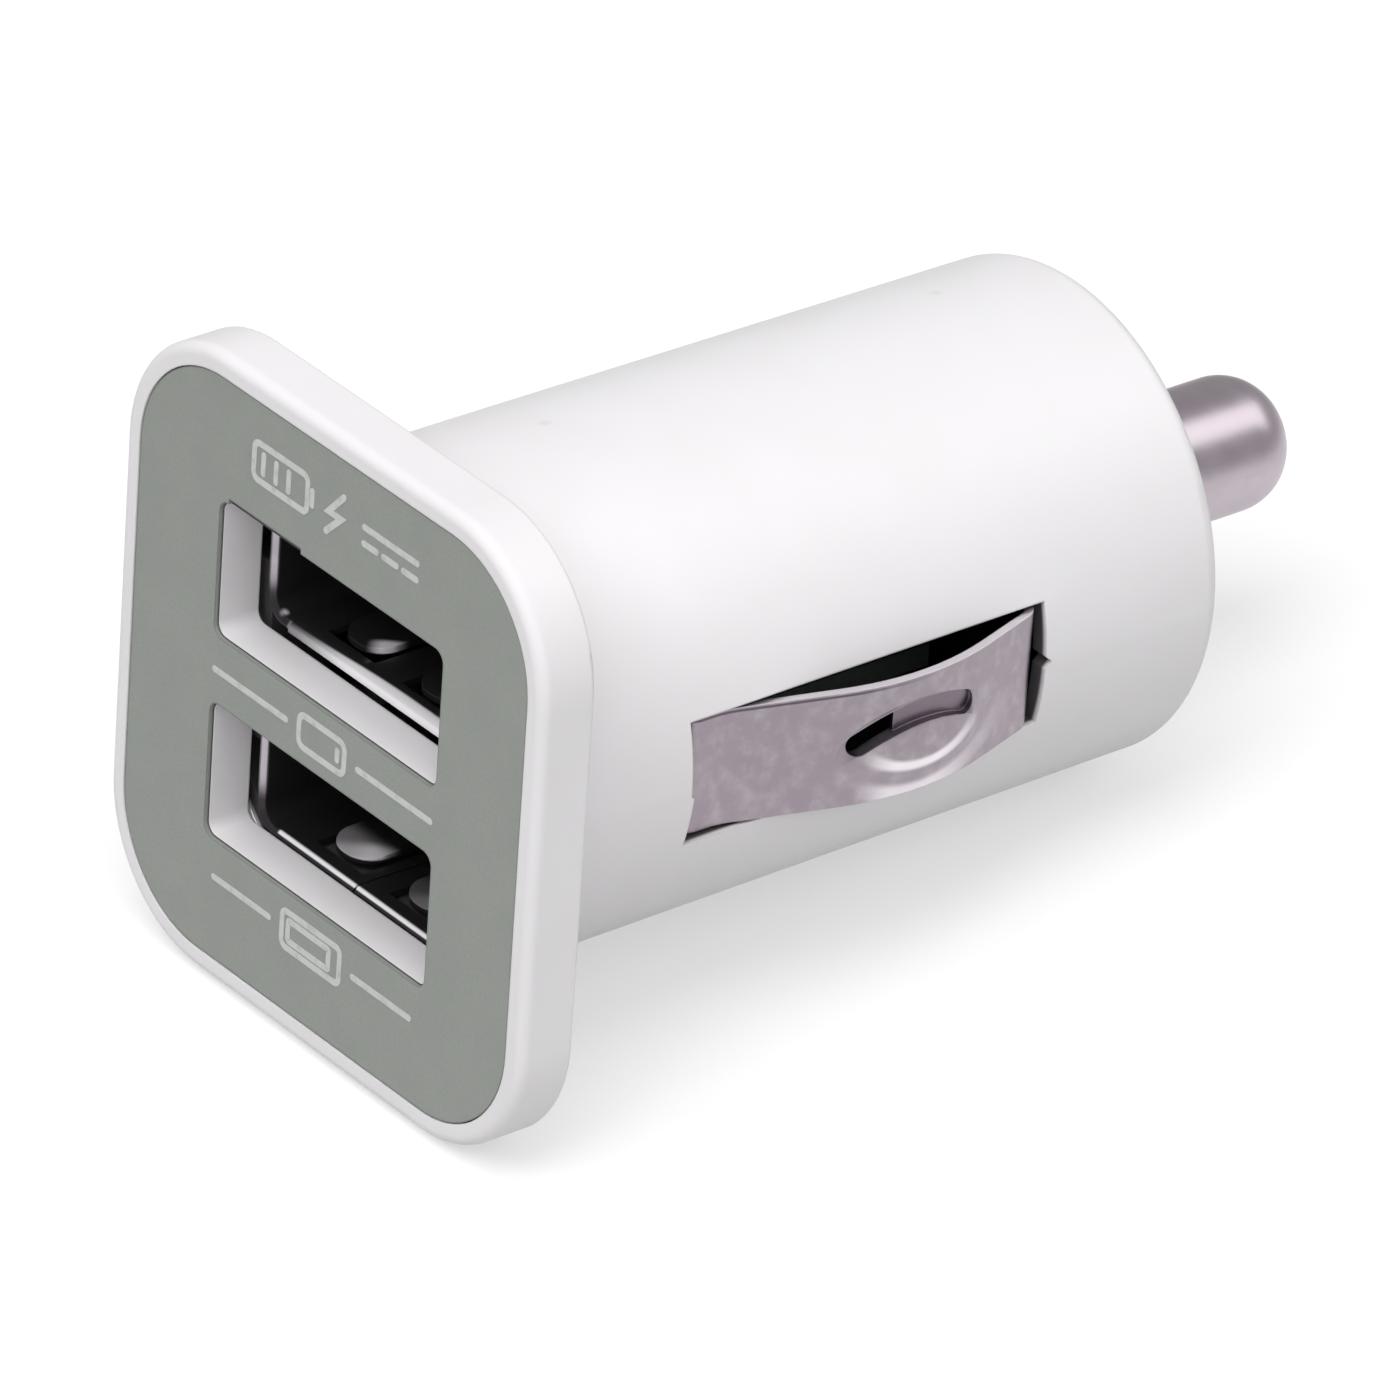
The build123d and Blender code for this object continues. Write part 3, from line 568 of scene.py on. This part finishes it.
# Metals: dark and bright colour, range of roughness, size of blotches, stretch of scratches
metals = {
    "tip_nickel": ((0.49, 0.43, 0.475), (0.54, 0.48, 0.525), (0.32, 0.38), 1.8, (0.3, 4.0, 0.3)),
    "spring_steel": ((0.40, 0.41, 0.43), (0.52, 0.53, 0.55), (0.3, 0.4), 1.0),
    "tin_plate": ((0.55, 0.56, 0.57), (0.66, 0.67, 0.68), (0.3, 0.45), 0.8),
    "pin_gold": ((0.72, 0.52, 0.22), (0.80, 0.62, 0.30), (0.2, 0.3), 0.8),
    "copper_wire": ((0.50, 0.21, 0.10), (0.66, 0.30, 0.15), (0.28, 0.4), 0.5, (0.5, 0.5, 6.0)),
    "capacitor_can": ((0.58, 0.59, 0.61), (0.66, 0.67, 0.69), (0.3, 0.38), 1.0),
}
# Plastics and ceramics: dark and bright colour, roughness, size of grain
solids = {
    "socket_black": ((0.05, 0.049, 0.05), (0.065, 0.064, 0.065), 0.6, 0.1),
    "circuit_board": ((0.012, 0.020, 0.015), (0.016, 0.026, 0.020), 0.6, 0.3),
    "ferrite": ((0.035, 0.035, 0.04), (0.06, 0.06, 0.065), 0.7, 0.12),
    "chip_black": ((0.016, 0.016, 0.017), (0.03, 0.03, 0.031), 0.55, 0.1),
    "chip_tan": ((0.36, 0.27, 0.17), (0.44, 0.34, 0.23), 0.5, 0.15),
}
looks = {
    "grey_panel": grey_panel(),
    "contact_nickel": contact_nickel(),
    "socket_steel": socket_steel(),
    **{slot: metal(slot, *values) for slot, values in metals.items()},
    **{slot: plain_solid(slot, *values) for slot, values in solids.items()},
}
white_looks = {
    "front_bezel": white_plastic("white_bezel", bezel_painted_shade),
    "barrel_shell": white_plastic("white_barrel", barrel_painted_shade, barrel_specks),
}
slots = {part["node"]: part["material_slot"] for part in frame["record"]["subparts"]}
for name, node in nodes.items():
    node.data.materials.clear()
    node.data.materials.append(white_looks.get(name) or looks[slots[name]])


def mesh_piece(name, verts, faces):
    """New object from points in metres and faces."""
    mesh = bpy.data.meshes.new(name)
    mesh.from_pydata(verts, [], faces)
    mesh.validate()
    piece = bpy.data.objects.new(name, mesh)
    bpy.context.scene.collection.objects.link(piece)
    return piece


# Coil spring behind the tip, built at its rest length; the real one shortens as the tip goes in
def coil_spring(name, steps=40, sides=12):
    """Round wire wound in a coil, with a closed turn at each end."""
    wire = spring_wire_mm / 2 * MM
    radius = spring_high[0] - wire
    start = spring_low[1] + wire
    end = spring_high[1] - wire
    shut = closed_turns * 2.1 * wire
    pitch = (end - start - 2 * shut) / (spring_turns - 2 * closed_turns)
    rings = round(spring_turns * steps) + 1
    verts = []
    for ring in range(rings):
        turn = ring / steps
        y = start + shut + (turn - closed_turns) * pitch
        if turn < closed_turns:
            y = start + shut * turn / closed_turns
        elif turn > spring_turns - closed_turns:
            y = end - shut * (spring_turns - turn) / closed_turns
        around = 2 * math.pi * turn
        for side in range(sides):
            angle = 2 * math.pi * side / sides
            reach = radius + wire * math.cos(angle)
            verts.append(
                (reach * math.cos(around), y + wire * math.sin(angle), reach * math.sin(around))
            )
    faces = []
    for ring in range(rings - 1):
        here = ring * sides
        there = here + sides
        for side in range(sides):
            after = (side + 1) % sides
            faces.append((here + side, here + after, there + after, there + side))
    last = (rings - 1) * sides
    piece = mesh_piece(name, verts, faces + [range(sides)[::-1], range(last, last + sides)])
    for face in piece.data.polygons[: len(faces)]:
        face.use_smooth = True
    return piece


coil = coil_spring("tip_spring_coil")
coil.data.materials.append(looks["spring_steel"])
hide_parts("tip_spring")
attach(coil, "housing")
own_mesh(coil)


# Printed marks on the panel: plain symbols of raised ink, one row over each port and one under
class Print:
    """Ribbons of ink on the panel's face, gathered into one closed mesh. Places are in mm."""

    def __init__(self, width_mm):
        self.half = width_mm / 2
        self.front = panel_face_mm - ink_height_mm
        self.back = panel_face_mm + ink_sunk_mm
        self.verts = []
        self.faces = []

    def strip(self, pairs, closed):
        """Closed ribbon from pairs of points on its two edges."""
        start = len(self.verts)
        for left, right in pairs:
            for x, z, y in (
                (*left, self.front), (*right, self.front), (*right, self.back), (*left, self.back)
            ):
                self.verts.append((x * MM, y * MM, z * MM))
        count = len(pairs)
        for i in range(count if closed else count - 1):
            here = start + 4 * i
            there = start + 4 * ((i + 1) % count)
            for side in range(4):
                after = (side + 1) % 4
                self.faces.append((here + side, here + after, there + after, there + side))
        if not closed:
            last = start + 4 * (count - 1)
            self.faces.append((start, start + 3, start + 2, start + 1))
            self.faces.append((last, last + 1, last + 2, last + 3))

    def stroke(self, points, closed=False, sharpest=0.35):
        """Ribbon of even width along a line, with mitred corners and round ends."""
        points = [Vector(p) for p in points]
        count = len(points)
        pairs = []
        for i, point in enumerate(points):
            before = points[i - 1] if closed or i > 0 else None
            after = points[(i + 1) % count] if closed or i < count - 1 else None
            first = (point - before).normalized() if before is not None else None
            second = (after - point).normalized() if after is not None else None
            first = first or second
            second = second or first
            along = (first + second).normalized()
            across = Vector((-along.y, along.x))
            reach = self.half / max(sharpest, across.dot(Vector((-first.y, first.x))))
            pairs.append((point + across * reach, point - across * reach))
        if not closed:
            pairs = self.round_end(points[0], points[0] - points[1])[::-1] + pairs
            ends = self.round_end(points[-1], points[-1] - points[-2])
            pairs += [(right, left) for left, right in ends]
        self.strip(pairs, closed)

    def round_end(self, point, outward, steps=4, last_degrees=88):
        """Pairs of edge points that close a ribbon in a half circle, from its end outward."""
        outward = outward.normalized()
        across = Vector((outward.y, -outward.x))
        pairs = []
        for step in range(1, steps + 1):
            angle = math.radians(last_degrees) * step / steps
            middle = point + outward * self.half * math.sin(angle)
            reach = across * self.half * math.cos(angle)
            pairs.append((middle + reach, middle - reach))
        return pairs

    def frame(self, x, z, width, height, corner, steps=5):
        """Outline of a rounded rectangle about its centre."""
        points = []
        for turn, (sx, sz) in enumerate(((1, 1), (-1, 1), (-1, -1), (1, -1))):
            for step in range(steps + 1):
                angle = math.radians(90) * (turn + step / steps)
                points.append(
                    (
                        x + sx * (width / 2 - corner) + corner * math.cos(angle),
                        z + sz * (height / 2 - corner) + corner * math.sin(angle),
                    )
                )
        self.stroke(points, closed=True)

    def upright(self, x, z, half):
        """Short upright stroke about its middle."""
        self.stroke([(x, z + half), (x, z - half)])

    def rules(self, z, inner, outer):
        """Level stroke on each side of a sign."""
        for side in (1, -1):
            self.stroke([(side * inner, z), (side * outer, z)])


def print_material():
    """Pale printed ink, a little worn and uneven."""
    shade = Shade("print_ink")
    wear = shade.noise(size_mm=0.5, detail=4.0)
    grain = shade.noise(size_mm=0.1, detail=2.0)
    shade.set(
        Base_Color=shade.mix(shade.span(wear, 0.45, 0.75), PRINT_LIGHT, PRINT_WORN),
        Roughness=shade.span(grain, *NOISE_MIDDLE, to_low=0.5, to_high=0.62),
        Normal=shade.relief(grain, 0.001),
    )
    return shade.material


def panel_marks():
    """Battery, bolt and direct current sign; a phone between rules; a tablet between rules."""
    ink = Print(ink_width_mm)
    row = 10.15
    ink.frame(-3.4, row, 3.4, 1.6, 0.3)
    ink.upright(-1.4, row, 0.3)
    for x in (-4.5, -3.7, -2.9):
        ink.upright(x, row, 0.4)
    ink.stroke([(0.55, row + 0.95), (-0.35, row - 0.05), (0.45, row - 0.05), (-0.45, row - 0.95)])
    ink.stroke([(1.9, row + 0.3), (5.2, row + 0.3)])
    for x in (1.9, 3.15, 4.4):
        ink.stroke([(x, row - 0.4), (x + 0.8, row - 0.4)])
    row = 0.0
    ink.frame(0.0, row, 2.9, 1.4, 0.35)
    ink.upright(1.0, row, 0.2)
    ink.rules(row, 2.3, 6.9)
    row = -9.05
    ink.frame(0.0, row, 3.7, 1.6, 0.3)
    ink.frame(-0.15, row, 2.6, 0.9, 0.1)
    ink.rules(row, 2.7, 6.3)
    return mesh_piece("panel_marks", ink.verts, ink.faces)


marks = panel_marks()
marks.data.materials.append(print_material())
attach(marks, "housing")


# Floor: the plug lies on its flange and on the rear end of its barrel
def resting_tilt(front_end=0.01, rear_start=0.02, steepest=0.3):
    """Slope of the floor under the plug, and its height at y 0."""
    points = [v.co for name in ("front_bezel", "barrel_shell") for v in nodes[name].data.vertices]
    front = [p for p in points if p.y < front_end]
    rear = [p for p in points if p.y > rear_start]
    low, high = 0.0, steepest
    for _ in range(40):
        slope = (low + high) / 2
        if min(p.z - slope * p.y for p in front) < min(p.z - slope * p.y for p in rear):
            low = slope
        else:
            high = slope
    return slope, min(p.z - slope * p.y for p in front)


def floor_piece(size=6.0):
    """Plain square floor under the plug."""
    slope, height = resting_tilt()
    half = size / 2
    sides = ((-half, -half), (half, -half), (half, half), (-half, half))
    points = [(x, y, height + slope * y) for x, y in sides]
    piece = mesh_piece("floor", points, [(0, 1, 2, 3)])
    return piece


def floor_material(near_lift, far_lift):
    """Matt pale floor, lifted to white where it is seen; metal sees it white near the plug only."""
    shade = Shade("floor_white")
    path = shade.node("ShaderNodeLightPath").outputs
    under_plug = (0.0, 0.02, 0.0)
    away = shade.vector("LENGTH", shade.vector("SUBTRACT", shade.place, under_plug))
    near = shade.both(shade.span(away, 0.085, 0.045), path["Is Glossy Ray"])
    seen = shade.math("MAXIMUM", path["Is Camera Ray"], path["Is Transmission Ray"])
    lift = shade.span(away, 0.2, 1.2, near_lift, far_lift)
    shade.set(
        Base_Color=FLOOR_GREY,
        Roughness=1.0,
        Specular_IOR_Level=0.0,
        Emission_Color=LIGHT_WHITE,
        Emission_Strength=shade.both(shade.math("MAXIMUM", seen, near), lift),
    )
    return shade.material


floor_piece().data.materials.append(floor_material(near_lift=0.5, far_lift=0.8))


# World and lamps
def studio(level, mirrored_level):
    """Even white surroundings, dimmer where metal mirrors them."""
    world = bpy.data.worlds.new("studio")
    bpy.context.scene.world = world
    world.use_nodes = True
    tree = world.node_tree
    path = tree.nodes.new("ShaderNodeLightPath")
    strength = tree.nodes.new("ShaderNodeMapRange")
    strength.inputs["To Min"].default_value = level
    strength.inputs["To Max"].default_value = mirrored_level
    tree.links.new(path.outputs["Is Glossy Ray"], strength.inputs["Value"])
    background = tree.nodes["Background"]
    background.inputs["Color"].default_value = LIGHT_WHITE
    tree.links.new(strength.outputs["Result"], background.inputs["Strength"])


def lamp(name, direction, level, diffuse=True, mirrored=True, distance=0.8, width=0.48, length=0.8):
    """Soft rectangular lamp that looks at the plug; level is the light that it sends there."""
    data = bpy.data.lights.new(name, "AREA")
    data.shape = "RECTANGLE"
    data.size = width
    data.size_y = length
    data.energy = level * math.pi * distance**2 * math.pi
    light = bpy.data.objects.new(name, data)
    bpy.context.scene.collection.objects.link(light)
    back = Vector(direction).normalized()
    along = Vector((0.0, 1.0, 0.0))
    up = (along - back * back.dot(along)).normalized()
    turn = Matrix((up.cross(back), up, back)).transposed().to_4x4()
    middle = Vector((0.0, barrel_high[1] / 2, 0.0))
    light.matrix_world = Matrix.Translation(middle + back * distance) @ turn
    light.visible_diffuse = diffuse
    light.visible_glossy = mirrored


studio(level=0.5, mirrored_level=0.45)
lamp("softbox", (0.324, 0.56, 0.763), level=0.3, diffuse=False)
lamp("front_fill", (0.15, -0.45, 0.88), level=0.72, mirrored=False)
lamp("side_fill", (0.78, -0.3, 0.55), level=0.22, mirrored=False)


# Camera, at the photograph's place
def photo_camera(place_mm, right, ahead, lens_mm):
    """Camera that looks ahead, with the picture's right along the other direction."""
    data = bpy.data.cameras.new("camera")
    data.sensor_width = 36.0
    data.lens = lens_mm
    data.clip_start = 0.01
    data.clip_end = 20.0
    camera = bpy.data.objects.new("camera", data)
    bpy.context.scene.collection.objects.link(camera)
    right = Vector(right)
    ahead = Vector(ahead)
    turn = Matrix((right, right.cross(ahead), -ahead)).transposed().to_4x4()
    camera.matrix_world = Matrix.Translation(Vector(place_mm) * MM) @ turn
    return camera


bpy.context.scene.camera = photo_camera(
    place_mm=(375.7885, -300.5083, 276.846),
    right=(0.616413, 0.785073, 0.06078),
    ahead=(-0.663974, 0.559717, -0.495838),
    lens_mm=371.004,
)
bpy.context.scene.view_settings.view_transform = "Standard"
